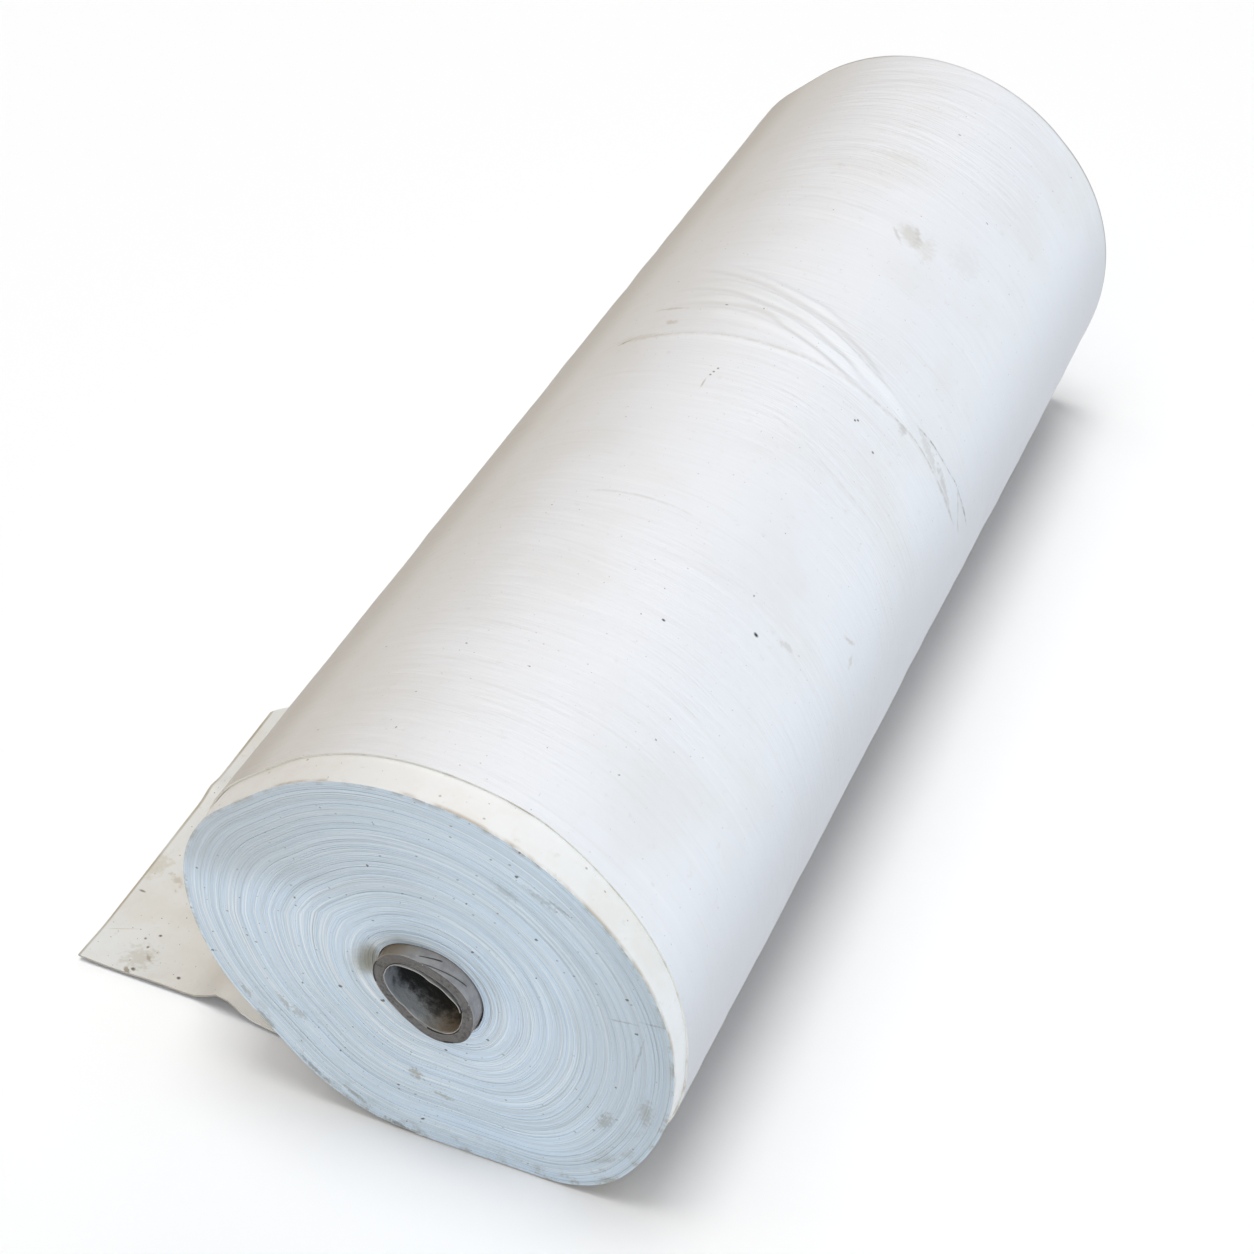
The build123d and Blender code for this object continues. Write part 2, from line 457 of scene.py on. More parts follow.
def place_core(u, v):
    """Puts the grid on the tube: forwards along the outside, over the plies, and back inside."""
    rows = 2 * core_side_rows + core_plies + 1
    row = np.rint(v * rows).astype(int)
    angle = u * 2 * np.pi
    outside = row <= core_side_rows
    from_end = np.where(outside, core_side_rows - row, row - core_side_rows - core_plies)
    step = (from_end.clip(0, core_side_rows) / core_side_rows) ** 2
    on_end = (row > core_side_rows) & (row < core_side_rows + core_plies)
    ply = np.clip((row - core_side_rows) / core_plies, 0, 1)
    radius = core_radius - core_wall * ply
    end_y = core_front_y + 0.0004 * (1 + ring_ripple(51, angle, 2.2, 3 + ply * 30)) * on_end
    end_y = end_y + 0.0010 * (1 - np.cos(angle + 0.9)) * (1 - step)
    y = end_y + (core_far_y - end_y) * step
    closing = row == rows
    radius = np.where(closing, core_radius, radius)
    y = np.where(closing, core_far_y, y)
    x, z = core_wall_point(angle, radius, y)
    pattern_y = np.where(on_end, core_front_y - core_wall * ply, y)
    return np.stack([x, y, z], axis=1), np.stack([angle * core_radius, pattern_y], axis=1)


core_board = shaped_grid("core_board", core_segments, 2 * core_side_rows + core_plies + 1, place_core)
close_seams(core_board)


def place_inner_ply(u, v):
    """Innermost ply of the board, which has come away from the wall at the upper right."""
    angle = u * 2 * np.pi
    loose = np.exp(-(((angle - radians(48)) / 0.85) ** 2))
    y = core_front_y + 0.0011 + 0.0010 * ring_ripple(61, angle, 3, 0.5) + loose_ply_length * v
    loose = loose * (1 - smooth_step(v, 0.0, 0.5)) * (0.8 + 0.3 * ring_ripple(62, angle, 2, 0.5))
    away = 0.0007 + 0.0046 * loose
    x, z = core_wall_point(angle, core_radius - core_wall - away, y)
    return np.stack([x, y, z], axis=1), np.stack([angle * core_radius, y], axis=1)


inner_ply = shaped_grid("core_loose_ply", core_segments, core_side_rows, place_inner_ply)
close_seams(inner_ply, fill=False)
ply_wall = inner_ply.modifiers.new("thickness", "SOLIDIFY")
ply_wall.thickness = loose_ply_thickness
ply_wall.offset = 0


# Shader tools

def add_node(tree, kind, **settings):
    """New node of a kind, with its settings made."""
    made = tree.nodes.new(kind)
    for name, value in settings.items():
        setattr(made, name, value)
    return made


def feed(tree, socket, value):
    """Links value into a socket if it is an output, and sets it there if it is a number or a colour."""
    if isinstance(value, bpy.types.NodeSocket):
        tree.links.new(value, socket)
    elif value is not None:
        socket.default_value = value


def calculate(tree, operation, *values):
    """Output of a Math node for the values, each a number or another node's output."""
    made = add_node(tree, "ShaderNodeMath", operation=operation)
    for socket, value in zip(made.inputs, values):
        feed(tree, socket, value)
    return made.outputs[0]


def times(tree, *masks):
    """Product of masks and numbers."""
    made = masks[0]
    for mask in masks[1:]:
        made = calculate(tree, "MULTIPLY", made, mask)
    return made


def move_point(tree, operation, point, *values):
    """Output of a Vector Math node for a point and the values that it takes."""
    made = add_node(tree, "ShaderNodeVectorMath", operation=operation)
    for socket, value in zip(made.inputs, (point, *values)):
        feed(tree, socket, value)
    return made.outputs["Value"] if operation == "LENGTH" else made.outputs["Vector"]


def rise(tree, value, start, end, low=0.0, high=1.0):
    """Smooth change from low to high while value goes from start to end."""
    made = add_node(tree, "ShaderNodeMapRange", interpolation_type="SMOOTHSTEP")
    names = ("Value", "From Min", "From Max", "To Min", "To Max")
    for name, number in zip(names, (value, start, end, low, high)):
        feed(tree, made.inputs[name], number)
    return made.outputs["Result"]


def cloud(tree, point, scale, detail=3.0, rough=0.5):
    """Soft random pattern about a point, finer for a larger scale."""
    made = add_node(tree, "ShaderNodeTexNoise")
    feed(tree, made.inputs["Vector"], point)
    for name, number in (("Scale", scale), ("Detail", detail), ("Roughness", rough)):
        made.inputs[name].default_value = number
    return made.outputs[0]


def tint(tree, under, over, amount):
    """Colour over laid on colour under by an amount from 0 to 1."""
    made = add_node(tree, "ShaderNodeMix", data_type="RGBA")
    feed(tree, made.inputs[0], amount)
    feed(tree, made.inputs[6], under if isinstance(under, bpy.types.NodeSocket) else (*under, 1))
    feed(tree, made.inputs[7], over if isinstance(over, bpy.types.NodeSocket) else (*over, 1))
    return made.outputs[2]


def split(tree, point):
    """The three coordinates of a point."""
    made = add_node(tree, "ShaderNodeSeparateXYZ")
    tree.links.new(point, made.inputs[0])
    return made.outputs


def new_group(name, inputs, outputs):
    """A shader node group, its inputs' sockets by name and its output node's sockets by name."""
    group = bpy.data.node_groups.new(name, "ShaderNodeTree")
    for label, kind, start in inputs:
        socket = group.interface.new_socket(label, in_out="INPUT", socket_type=kind)
        if start is not None:
            socket.default_value = start
    for label in outputs:
        group.interface.new_socket(label, in_out="OUTPUT", socket_type="NodeSocketFloat")
    return group, add_node(group, "NodeGroupInput").outputs, add_node(group, "NodeGroupOutput").inputs


def use_group(tree, group, **values):
    """Places a group in a material and returns its first output."""
    made = add_node(tree, "ShaderNodeGroup", node_tree=group)
    for name, value in values.items():
        feed(tree, made.inputs[name.replace("_", " ").capitalize()], value)
    return made.outputs[0]


# Shared finishes

point_input = ("Place", "NodeSocketVector", None)

specks, given, result = new_group(
    "specks",
    [
        point_input,
        ("Spacing", "NodeSocketFloat", 0.02),
        ("Size", "NodeSocketFloat", 0.05),
        ("Share", "NodeSocketFloat", 0.5),
        ("Stretch", "NodeSocketFloat", 1.0),
    ],
    ["Mask"],
)
stretching = add_node(specks, "ShaderNodeCombineXYZ")
specks.links.new(calculate(specks, "DIVIDE", 1.0, given["Stretch"]), stretching.inputs[0])
stretching.inputs[1].default_value = 1
stretching.inputs[2].default_value = 1
narrowed = move_point(specks, "MULTIPLY", given["Place"], stretching.outputs[0])
spaced = add_node(specks, "ShaderNodeVectorMath", operation="SCALE")
specks.links.new(narrowed, spaced.inputs[0])
specks.links.new(calculate(specks, "DIVIDE", 1.0, given["Spacing"]), spaced.inputs["Scale"])
wobble = add_node(specks, "ShaderNodeTexNoise", noise_dimensions="2D")
specks.links.new(spaced.outputs[0], wobble.inputs["Vector"])
wobble.inputs["Scale"].default_value = 9
wobbled = add_node(specks, "ShaderNodeVectorMath", operation="MULTIPLY_ADD")
specks.links.new(wobble.outputs["Color"], wobbled.inputs[0])
wobbled.inputs[1].default_value = (0.07, 0.07, 0.07)
specks.links.new(spaced.outputs[0], wobbled.inputs[2])
cells = add_node(specks, "ShaderNodeTexVoronoi", feature="F1", voronoi_dimensions="2D")
cells.inputs["Scale"].default_value = 1
specks.links.new(wobbled.outputs[0], cells.inputs["Vector"])
lottery = add_node(specks, "ShaderNodeSeparateColor")
specks.links.new(cells.outputs["Color"], lottery.inputs[0])
odds = times(specks, lottery.outputs[1], lottery.outputs[1])
radius = times(specks, given["Size"], calculate(specks, "ADD", 0.35, odds))
inside = calculate(specks, "SUBTRACT", 1.0, calculate(specks, "DIVIDE", cells.outputs["Distance"], radius))
dot = rise(specks, inside, 0.0, 0.45)
present = calculate(specks, "LESS_THAN", lottery.outputs[0], given["Share"])
feed(specks, result["Mask"], times(specks, dot, present))

stain_and_shade_patch, given, result = new_group(
    "stain_and_shade_patch",
    [
        point_input,
        ("Centre", "NodeSocketVector", None),
        ("Length", "NodeSocketFloat", 0.01),
        ("Width", "NodeSocketFloat", 0.01),
        ("Turned", "NodeSocketFloat", 0.0),
        ("Ragged", "NodeSocketFloat", 0.5),
        ("Blotches", "NodeSocketFloat", 0.5),
    ],
    ["Mask"],
)
from_centre = move_point(stain_and_shade_patch, "SUBTRACT", given["Place"], given["Centre"])
turned = add_node(stain_and_shade_patch, "ShaderNodeVectorRotate", rotation_type="Z_AXIS")
stain_and_shade_patch.links.new(from_centre, turned.inputs["Vector"])
stain_and_shade_patch.links.new(given["Turned"], turned.inputs["Angle"])
extent = add_node(stain_and_shade_patch, "ShaderNodeCombineXYZ")
stain_and_shade_patch.links.new(given["Length"], extent.inputs[0])
stain_and_shade_patch.links.new(given["Width"], extent.inputs[1])
extent.inputs[2].default_value = 1
measured = move_point(stain_and_shade_patch, "DIVIDE", turned.outputs[0], extent.outputs[0])
distance = move_point(stain_and_shade_patch, "LENGTH", measured)
rough_edge = times(stain_and_shade_patch, calculate(stain_and_shade_patch, "SUBTRACT", given["Blotches"], 0.5), 3.0)
reached = calculate(stain_and_shade_patch, "ADD", distance, times(stain_and_shade_patch, rough_edge, given["Ragged"]))
feed(stain_and_shade_patch, result["Mask"], rise(stain_and_shade_patch, reached, 0.25, 1.0, 1.0, 0.0))

sheet_streaks, given, result = new_group(
    "sheet_streaks",
    [
        point_input,
        ("Length", "NodeSocketFloat", 0.2),
        ("Width", "NodeSocketFloat", 0.004),
        ("Slant", "NodeSocketFloat", 0.0),
    ],
    ["Streaks"],
)
grain = add_node(sheet_streaks, "ShaderNodeCombineXYZ")
sheet_streaks.links.new(given["Length"], grain.inputs[0])
sheet_streaks.links.new(given["Width"], grain.inputs[1])
grain.inputs[2].default_value = 1
bowed = cloud(sheet_streaks, given["Place"], 5.0, 1.0)
leaning = add_node(sheet_streaks, "ShaderNodeCombineXYZ")
slanted = times(sheet_streaks, split(sheet_streaks, given["Place"])[0], given["Slant"])
feed(sheet_streaks, leaning.inputs[1], calculate(sheet_streaks, "MULTIPLY_ADD", bowed, 0.03, slanted))
leant = move_point(sheet_streaks, "ADD", given["Place"], leaning.outputs[0])
drawn = move_point(sheet_streaks, "DIVIDE", leant, grain.outputs[0])
feed(sheet_streaks, result["Streaks"], cloud(sheet_streaks, drawn, 1.0, 2.5, 0.55))


# Materials

def start_material(name, rough):
    """A new material with the tree and the shader that its finish goes into."""
    material = bpy.data.materials.new(name)
    material.use_nodes = True
    tree = material.node_tree
    shader = tree.nodes["Principled BSDF"]
    shader.inputs["Roughness"].default_value = rough
    return material, tree, shader


def add_bump(tree, shader, height, depth):
    """Lets a height from 0 to 1 show as relief of a depth in metres."""
    bump = add_node(tree, "ShaderNodeBump")
    bump.inputs["Distance"].default_value = depth
    feed(tree, bump.inputs["Height"], height)
    tree.links.new(bump.outputs[0], shader.inputs["Normal"])


def sheet_place(tree):
    """The piece's own pattern coordinates, which follow the sheet."""
    return add_node(tree, "ShaderNodeUVMap", uv_map="along_sheet").outputs[0]


def dirt_and_shade_line(tree, place, line, width):
    """Mask along a drawn line of (path, y) points on the sheet, fading out at both ends."""
    path, across = split(tree, place)[0], split(tree, place)[1]
    places, centres = zip(*sorted(line))
    low, high = min(centres) - 0.001, max(centres) + 0.001
    along = add_node(tree, "ShaderNodeMapRange")
    for name, number in zip(("Value", "From Min", "From Max"), (path, places[0], places[-1])):
        feed(tree, along.inputs[name], number)
    drawn = add_node(tree, "ShaderNodeFloatCurve")
    tree.links.new(along.outputs[0], drawn.inputs["Value"])
    curve = drawn.mapping.curves[0]
    shares = [(p - places[0]) / (places[-1] - places[0]) for p in places]
    heights = [(c - low) / (high - low) for c in centres]
    curve.points[0].location = (shares[0], heights[0])
    curve.points[1].location = (shares[-1], heights[-1])
    for point in zip(shares[1:-1], heights[1:-1]):
        curve.points.new(*point)
    drawn.mapping.update()
    centre = calculate(tree, "MULTIPLY_ADD", drawn.outputs[0], high - low, low)
    off = calculate(tree, "ABSOLUTE", calculate(tree, "SUBTRACT", across, centre))
    beside = rise(tree, off, 0.0, width, 1.0, 0.0)
    fade_in = rise(tree, along.outputs[0], 0.0, 0.12)
    fade_out = rise(tree, along.outputs[0], 0.88, 1.0, 1.0, 0.0)
    return times(tree, beside, times(tree, fade_in, fade_out))


def add_stains_and_shade(tree, color, place, blotches, stains, *where):
    """Tints color with stains and painted shade: centre, length, width, turn, raggedness, colour and
    strength.
    """
    for centre, length, width, turned_by, ragged, dirt_and_shade_color, strength in stains:
        spot = use_group(
            tree,
            stain_and_shade_patch,
            place=place,
            centre=(*centre, 0),
            length=length,
            width=width,
            turned=turned_by,
            ragged=ragged,
            blotches=blotches,
        )
        color = tint(tree, color, dirt_and_shade_color, times(tree, spot, *where, strength))
    return color


# Outer white face of the outermost turn
felt_face, tree, shader = start_material("felt_white_face", 0.48)
place = sheet_place(tree)
patchy = cloud(tree, place, 9.0, 4.0)
fine_patches = cloud(tree, place, 90.0, 5.0, 0.6)
long_streaks = use_group(tree, sheet_streaks, place=place, length=0.16, width=0.0042)
short_streaks = use_group(tree, sheet_streaks, place=place, length=0.045, width=0.0014)
color = tint(tree, (0.885, 0.895, 0.918), (0.82, 0.81, 0.79), rise(tree, patchy, 0.46, 0.72, 0.0, 0.5))
color = tint(tree, color, (0.76, 0.745, 0.71), rise(tree, long_streaks, 0.54, 0.80, 0.0, 0.26))
color = tint(tree, color, (0.96, 0.96, 0.97), rise(tree, long_streaks, 0.44, 0.25, 0.0, 0.30))
color = tint(tree, color, (0.72, 0.70, 0.66), rise(tree, short_streaks, 0.58, 0.8, 0.0, 0.24))
color = tint(tree, color, (0.66, 0.63, 0.57), rise(tree, fine_patches, 0.60, 0.80, 0.0, 0.35))
small_specks = use_group(tree, specks, place=place, spacing=0.008, size=0.060, share=0.30, stretch=1.2)
color = tint(tree, color, (0.42, 0.37, 0.30), times(tree, small_specks, 0.50))
large_specks = use_group(tree, specks, place=place, spacing=0.040, size=0.018, share=0.4, stretch=1.2)
color = tint(tree, color, (0.22, 0.18, 0.14), times(tree, large_specks, 0.70))
scratches = use_group(tree, specks, place=place, spacing=0.05, size=0.02, share=0.25, stretch=0.3)
color = tint(tree, color, (0.50, 0.46, 0.38), times(tree, scratches, 0.35))
# Both flanks are darker: the left one warmer, from yellowing and painted shade, and the right one from
# painted shade
path = split(tree, place)[0]
color = tint(tree, color, (0.70, 0.655, 0.57), rise(tree, path, 0.57, 0.71, 0.0, 0.56))
color = tint(tree, color, (0.60, 0.60, 0.62), rise(tree, path, 0.38, 0.27, 0.0, 0.66))
# Painted shade along the upper left flank, next to the left corner
left_flank_shade = times(tree, rise(tree, path, 0.660, 0.705), rise(tree, path, 0.72, 0.78, 1.0, 0.2))
color = tint(tree, color, (0.48, 0.45, 0.39), times(tree, left_flank_shade, 0.50))
# Stains, with their centres as (path, y) on the sheet
face_stains = (
    ((0.479, 0.236), 0.013, 0.018, 0.5, 0.30, (0.58, 0.54, 0.46), 0.45),
    ((0.488, 0.227), 0.0024, 0.012, 0.7, 0.30, (0.46, 0.42, 0.35), 0.38),
    ((0.475, 0.243), 0.0030, 0.012, 0.4, 0.30, (0.50, 0.46, 0.39), 0.30),
    ((0.471, 0.230), 0.008, 0.010, 0.0, 0.40, (0.58, 0.54, 0.47), 0.35),
    ((0.462, 0.232), 0.011, 0.020, 0.2, 0.60, (0.70, 0.67, 0.60), 0.35),
    ((0.4385, 0.0075), 0.0014, 0.0014, 0.0, 0.15, (0.08, 0.06, 0.05), 0.95),
    ((0.4366, 0.0099), 0.0014, 0.0014, 0.0, 0.15, (0.10, 0.08, 0.06), 0.95),
    ((0.418, -0.231), 0.0028, 0.0022, 0.0, 0.15, (0.02, 0.02, 0.02), 1.0),
    ((0.475, -0.277), 0.0019, 0.0015, 0.0, 0.15, (0.05, 0.04, 0.04), 1.0),
    ((0.414, -0.003), 0.0018, 0.0014, 0.0, 0.15, (0.12, 0.09, 0.07), 0.9),
    ((0.569, 0.065), 0.0018, 0.0012, 0.0, 0.15, (0.08, 0.06, 0.05), 0.9),
    ((0.5430, -0.0180), 0.0010, 0.0016, 0.0, 0.4, (0.26, 0.22, 0.17), 0.85),
    ((0.5443, -0.0230), 0.0012, 0.0013, 0.0, 0.4, (0.20, 0.17, 0.13), 0.9),
    ((0.5452, -0.0275), 0.0012, 0.0014, 0.0, 0.4, (0.20, 0.17, 0.13), 0.9),
    ((0.5460, -0.0390), 0.0010, 0.0090, 0.05, 0.3, (0.52, 0.47, 0.39), 0.7),
    ((0.634, 0.018), 0.0090, 0.0022, 0.25, 0.30, (0.36, 0.30, 0.20), 0.75),
    ((0.603, 0.038), 0.0070, 0.0050, 0.2, 0.60, (0.58, 0.52, 0.43), 0.55),
    ((0.612, 0.060), 0.0200, 0.0022, -0.1, 0.50, (0.56, 0.50, 0.41), 0.50),
    ((0.622, 0.020), 0.0300, 0.0060, -0.1, 0.60, (0.64, 0.59, 0.50), 0.40),
    ((0.403, 0.043), 0.0070, 0.0060, 0.0, 0.60, (0.55, 0.53, 0.49), 0.55),
    ((0.374, 0.056), 0.0240, 0.0065, -0.30, 0.65, (0.62, 0.61, 0.58), 0.50),
    ((0.343, 0.055), 0.0220, 0.0050, -0.20, 0.60, (0.52, 0.50, 0.46), 0.50),
    ((0.395, -0.215), 0.0090, 0.0040, 0.3, 0.80, (0.62, 0.59, 0.54), 0.45),
    ((0.350, -0.150), 0.0100, 0.0020, 0.6, 0.80, (0.56, 0.53, 0.48), 0.55),
    ((0.340, -0.160), 0.0030, 0.0080, 0.2, 0.80, (0.60, 0.57, 0.52), 0.50),
    ((0.430, 0.255), 0.0200, 0.0250, 0.0, 0.75, (0.72, 0.70, 0.66), 0.22),
    ((0.520, 0.330), 0.0300, 0.0140, 0.2, 0.75, (0.74, 0.71, 0.64), 0.25),
)
color = add_stains_and_shade(tree, color, place, cloud(tree, place, 260.0, 5.0), face_stains)
broken = rise(tree, cloud(tree, place, 160.0, 4.0, 0.6), 0.36, 0.60, 0.15, 1.0)
# Half width, colour and strength of each dirty line, and its (path, y) points
face_lines = (
    (
        0.0015, (0.26, 0.23, 0.19), 0.80,
        [(0.285, 0.085), (0.325, 0.077), (0.350, 0.070), (0.374, 0.067), (0.396, 0.061)],
    ),
    (
        0.0026, (0.44, 0.41, 0.36), 0.60,
        [(0.305, 0.058), (0.335, 0.049), (0.359, 0.047), (0.387, 0.048), (0.425, 0.042)],
    ),
    (
        0.0034, (0.60, 0.55, 0.46), 0.36,
        [(0.40, 0.046), (0.438, 0.039), (0.478, 0.034), (0.530, 0.026), (0.589, 0.019), (0.640, 0.014)],
    ),
    (
        0.0020, (0.55, 0.50, 0.42), 0.30,
        [(0.495, -0.177), (0.520, -0.178), (0.545, -0.181), (0.572, -0.187)],
    ),
    (
        0.0018, (0.64, 0.60, 0.55), 0.28,
        [(0.380, -0.056), (0.429, -0.055), (0.464, -0.047), (0.495, -0.042)],
    ),
    (
        0.0016, (0.40, 0.36, 0.30), 0.5,
        [(0.295, 0.062), (0.303, 0.062), (0.315, 0.066), (0.330, 0.073)],
    ),
)
for width, dirt_and_shade_color, strength, line in face_lines:
    drawn = dirt_and_shade_line(tree, place, line, width)
    color = tint(tree, color, dirt_and_shade_color, times(tree, drawn, broken, strength))
# Soft shade in the hollows beside the folds
fold_hollows = (
    [(0.425, 0.061), (0.456, 0.074), (0.478, 0.081), (0.514, 0.089), (0.559, 0.102), (0.64, 0.129)],
    [(0.45, 0.0545), (0.488, 0.063), (0.507, 0.070), (0.545, 0.077), (0.579, 0.085), (0.64, 0.091)],
    [(0.45, 0.037), (0.493, 0.048), (0.515, 0.054), (0.546, 0.065), (0.574, 0.066), (0.63, 0.063)],
)
for line in fold_hollows:
    hollow = times(tree, dirt_and_shade_line(tree, place, line, 0.0046), rise(tree, path, 0.64, 0.54))
    color = tint(tree, color, (0.64, 0.63, 0.61), times(tree, hollow, 0.48))
across = split(tree, place)[1]
far_rim = rise(tree, across, far_y - 0.0035, far_y - 0.0008)
far_rim = times(tree, far_rim, rise(tree, patchy, 0.35, 0.6, 0.2, 0.75))
color = tint(tree, color, (0.30, 0.27, 0.23), far_rim)
tree.links.new(color, shader.inputs["Base Color"])
soft_waves = use_group(tree, sheet_streaks, place=place, length=0.20, width=0.013, slant=0.20)
height = calculate(tree, "MULTIPLY_ADD", short_streaks, 0.25, long_streaks)
height = calculate(tree, "MULTIPLY_ADD", fine_patches, 0.12, height)
height = calculate(tree, "MULTIPLY_ADD", soft_waves, 1.8, height)
present = rise(tree, cloud(tree, place, 4.0, 1.0), 0.40, 0.62, 0.30, 1.0)
add_bump(tree, shader, times(tree, height, present), 0.00085)

# Cream selvedge of the turn below, which shows in front of the outermost turn's edge
felt_band, tree, shader = start_material("felt_cream_face", 0.5)
place = add_node(tree, "ShaderNodeTexCoord").outputs["Object"]
patchy = cloud(tree, place, 22.0, 4.0, 0.6)
fine_patches = cloud(tree, place, 160.0, 4.0, 0.6)
color = tint(tree, (0.915, 0.915, 0.90), (0.84, 0.81, 0.74), rise(tree, patchy, 0.45, 0.72, 0.0, 0.6))
color = tint(tree, color, (0.60, 0.54, 0.43), rise(tree, fine_patches, 0.60, 0.78, 0.0, 0.35))
band_specks = use_group(tree, specks, place=place, spacing=0.014, size=0.06, share=0.35, stretch=1.0)
color = tint(tree, color, (0.35, 0.27, 0.18), times(tree, band_specks, 0.6))
from_edge = split(tree, place)[1]
soiled = rise(tree, from_edge, front_y + 0.0005, front_y + 0.004, 1.0, 0.0)
soiled = times(tree, soiled, rise(tree, patchy, 0.42, 0.62, 0.0, 0.75))
color = tint(tree, color, (0.42, 0.34, 0.24), soiled)
tree.links.new(color, shader.inputs["Base Color"])
add_bump(tree, shader, patchy, 0.0012)

# Inner side of the sheet, which is the upper side of the loose end
felt_back, tree, shader = start_material("felt_back", 0.55)
place = sheet_place(tree)
patchy = cloud(tree, place, 17.0, 4.0, 0.6)
fine_patches = cloud(tree, place, 110.0, 5.0, 0.65)
color = tint(tree, (0.80, 0.825, 0.825), (0.75, 0.75, 0.715), rise(tree, patchy, 0.44, 0.70, 0.0, 0.7))
color = tint(tree, color, (0.55, 0.50, 0.40), rise(tree, fine_patches, 0.60, 0.78, 0.0, 0.4))
back_specks = use_group(tree, specks, place=place, spacing=0.0075, size=0.070, share=0.42, stretch=1.0)
color = tint(tree, color, (0.24, 0.20, 0.15), times(tree, back_specks, 0.75))
back_stains = (
    ((-0.246, -0.450), 0.0028, 0.0022, 0.3, 0.4, (0.10, 0.08, 0.06), 0.95),
    ((-0.249, -0.453), 0.0050, 0.0030, 0.3, 0.8, (0.26, 0.23, 0.17), 0.80),
    ((-0.2463, -0.4128), 0.0020, 0.0017, 0.0, 0.3, (0.10, 0.08, 0.06), 0.95),
    ((-0.2548, -0.4195), 0.0016, 0.0016, 0.0, 0.3, (0.14, 0.12, 0.09), 0.90),
    ((-0.2486, -0.4265), 0.0016, 0.0018, 0.0, 0.3, (0.14, 0.12, 0.09), 0.90),
    ((-0.2122, -0.4447), 0.0021, 0.0019, 0.0, 0.3, (0.10, 0.08, 0.06), 0.95),
    ((-0.2424, -0.4354), 0.0060, 0.0016, 0.8, 0.6, (0.34, 0.30, 0.22), 0.70),
    ((-0.2480, -0.4380), 0.0150, 0.0160, 0.6, 0.9, (0.46, 0.43, 0.35), 0.38),
    ((-0.2816, -0.3802), 0.0034, 0.0012, 0.1, 0.4, (0.20, 0.17, 0.12), 0.80),
    ((-0.2650, -0.3600), 0.0120, 0.0030, 0.5, 0.9, (0.48, 0.43, 0.33), 0.50),
    ((-0.2853, -0.3537), 0.0120, 0.0180, 0.2, 0.7, (0.60, 0.56, 0.44), 0.50),
    ((-0.2700, -0.3100), 0.0100, 0.0030, 0.2, 0.6, (0.50, 0.44, 0.34), 0.45),
    ((-0.2740, -0.4180), 0.0150, 0.0008, -0.42, 0.2, (0.56, 0.51, 0.40), 0.50),
)
# Painted light: the loose end is lighter from its wave towards the roll
color = tint(tree, color, (0.93, 0.93, 0.92), rise(tree, split(tree, place)[0], -0.24, -0.17, 0.0, 0.5))
color = add_stains_and_shade(tree, color, place, cloud(tree, place, 230.0, 5.0), back_stains)
# The outer edge of the loose end has darkened in a thin line, which leans as the cut edge does
edge_slope, edge_shift = 0.01434, 0.00645
edge_lean = calculate(tree, "MULTIPLY_ADD", split(tree, place)[1], edge_slope, edge_shift)
from_end = calculate(tree, "ADD", split(tree, place)[0], edge_lean)
outer_edge = rise(tree, from_end, path_start + 0.0036, path_start + 0.0022)
outer_edge = times(tree, outer_edge, rise(tree, patchy, 0.30, 0.60, 0.35, 0.85))
color = tint(tree, color, (0.40, 0.35, 0.26), outer_edge)
tree.links.new(color, shader.inputs["Base Color"])
add_bump(tree, shader, calculate(tree, "MULTIPLY_ADD", fine_patches, 0.2, patchy), 0.0030)

# Cut edge of the outermost turn
felt_rim, tree, shader = start_material("felt_soiled_edge", 0.6)
place = add_node(tree, "ShaderNodeTexCoord").outputs["Object"]
patchy = cloud(tree, place, 60.0, 4.0, 0.6)
color = tint(tree, (0.80, 0.78, 0.74), (0.52, 0.46, 0.38), rise(tree, patchy, 0.45, 0.68, 0.0, 0.7))
color = tint(tree, color, (0.36, 0.32, 0.25), rise(tree, split(tree, place)[0], -0.165, -0.175, 0.0, 0.75))
tree.links.new(color, shader.inputs["Base Color"])

# Blue edges of the wound turns
felt_edge, tree, shader = start_material("felt_blue_turn_edges", 0.5)
around, turn = split(tree, sheet_place(tree))[0], split(tree, sheet_place(tree))[1]
angle = times(tree, around, 6.2832)
east, north = calculate(tree, "COSINE", angle), calculate(tree, "SINE", angle)


def turn_lines(swells, turns, detail):
    """Lines that follow the turns: swells along each turn, and lines for each turn."""
    at = add_node(tree, "ShaderNodeCombineXYZ")
    feed(tree, at.inputs[0], times(tree, east, swells))
    feed(tree, at.inputs[1], times(tree, north, swells))
    feed(tree, at.inputs[2], times(tree, turn, turns))
    return cloud(tree, at.outputs[0], 1.0, detail, 0.6)


broad_lines = turn_lines(0.5, 0.25, 0.0)
fine_lines = turn_lines(0.7, 2.3, 0.0)
thin_lines = turn_lines(0.9, 3.1, 0.0)
place = add_node(tree, "ShaderNodeTexCoord").outputs["Object"]
flat_place = add_node(tree, "ShaderNodeCombineXYZ")
feed(tree, flat_place.inputs[0], split(tree, place)[0])
feed(tree, flat_place.inputs[1], split(tree, place)[2])
flat_place = flat_place.outputs[0]
color = tint(tree, (0.68, 0.80, 0.93), (0.655, 0.77, 0.885), rise(tree, broad_lines, 0.40, 0.64))
color = tint(tree, color, (0.88, 0.95, 1.0), rise(tree, fine_lines, 0.54, 0.68, 0.0, 0.55))
color = tint(tree, color, (0.44, 0.51, 0.57), rise(tree, thin_lines, 0.46, 0.32, 0.0, 0.40))
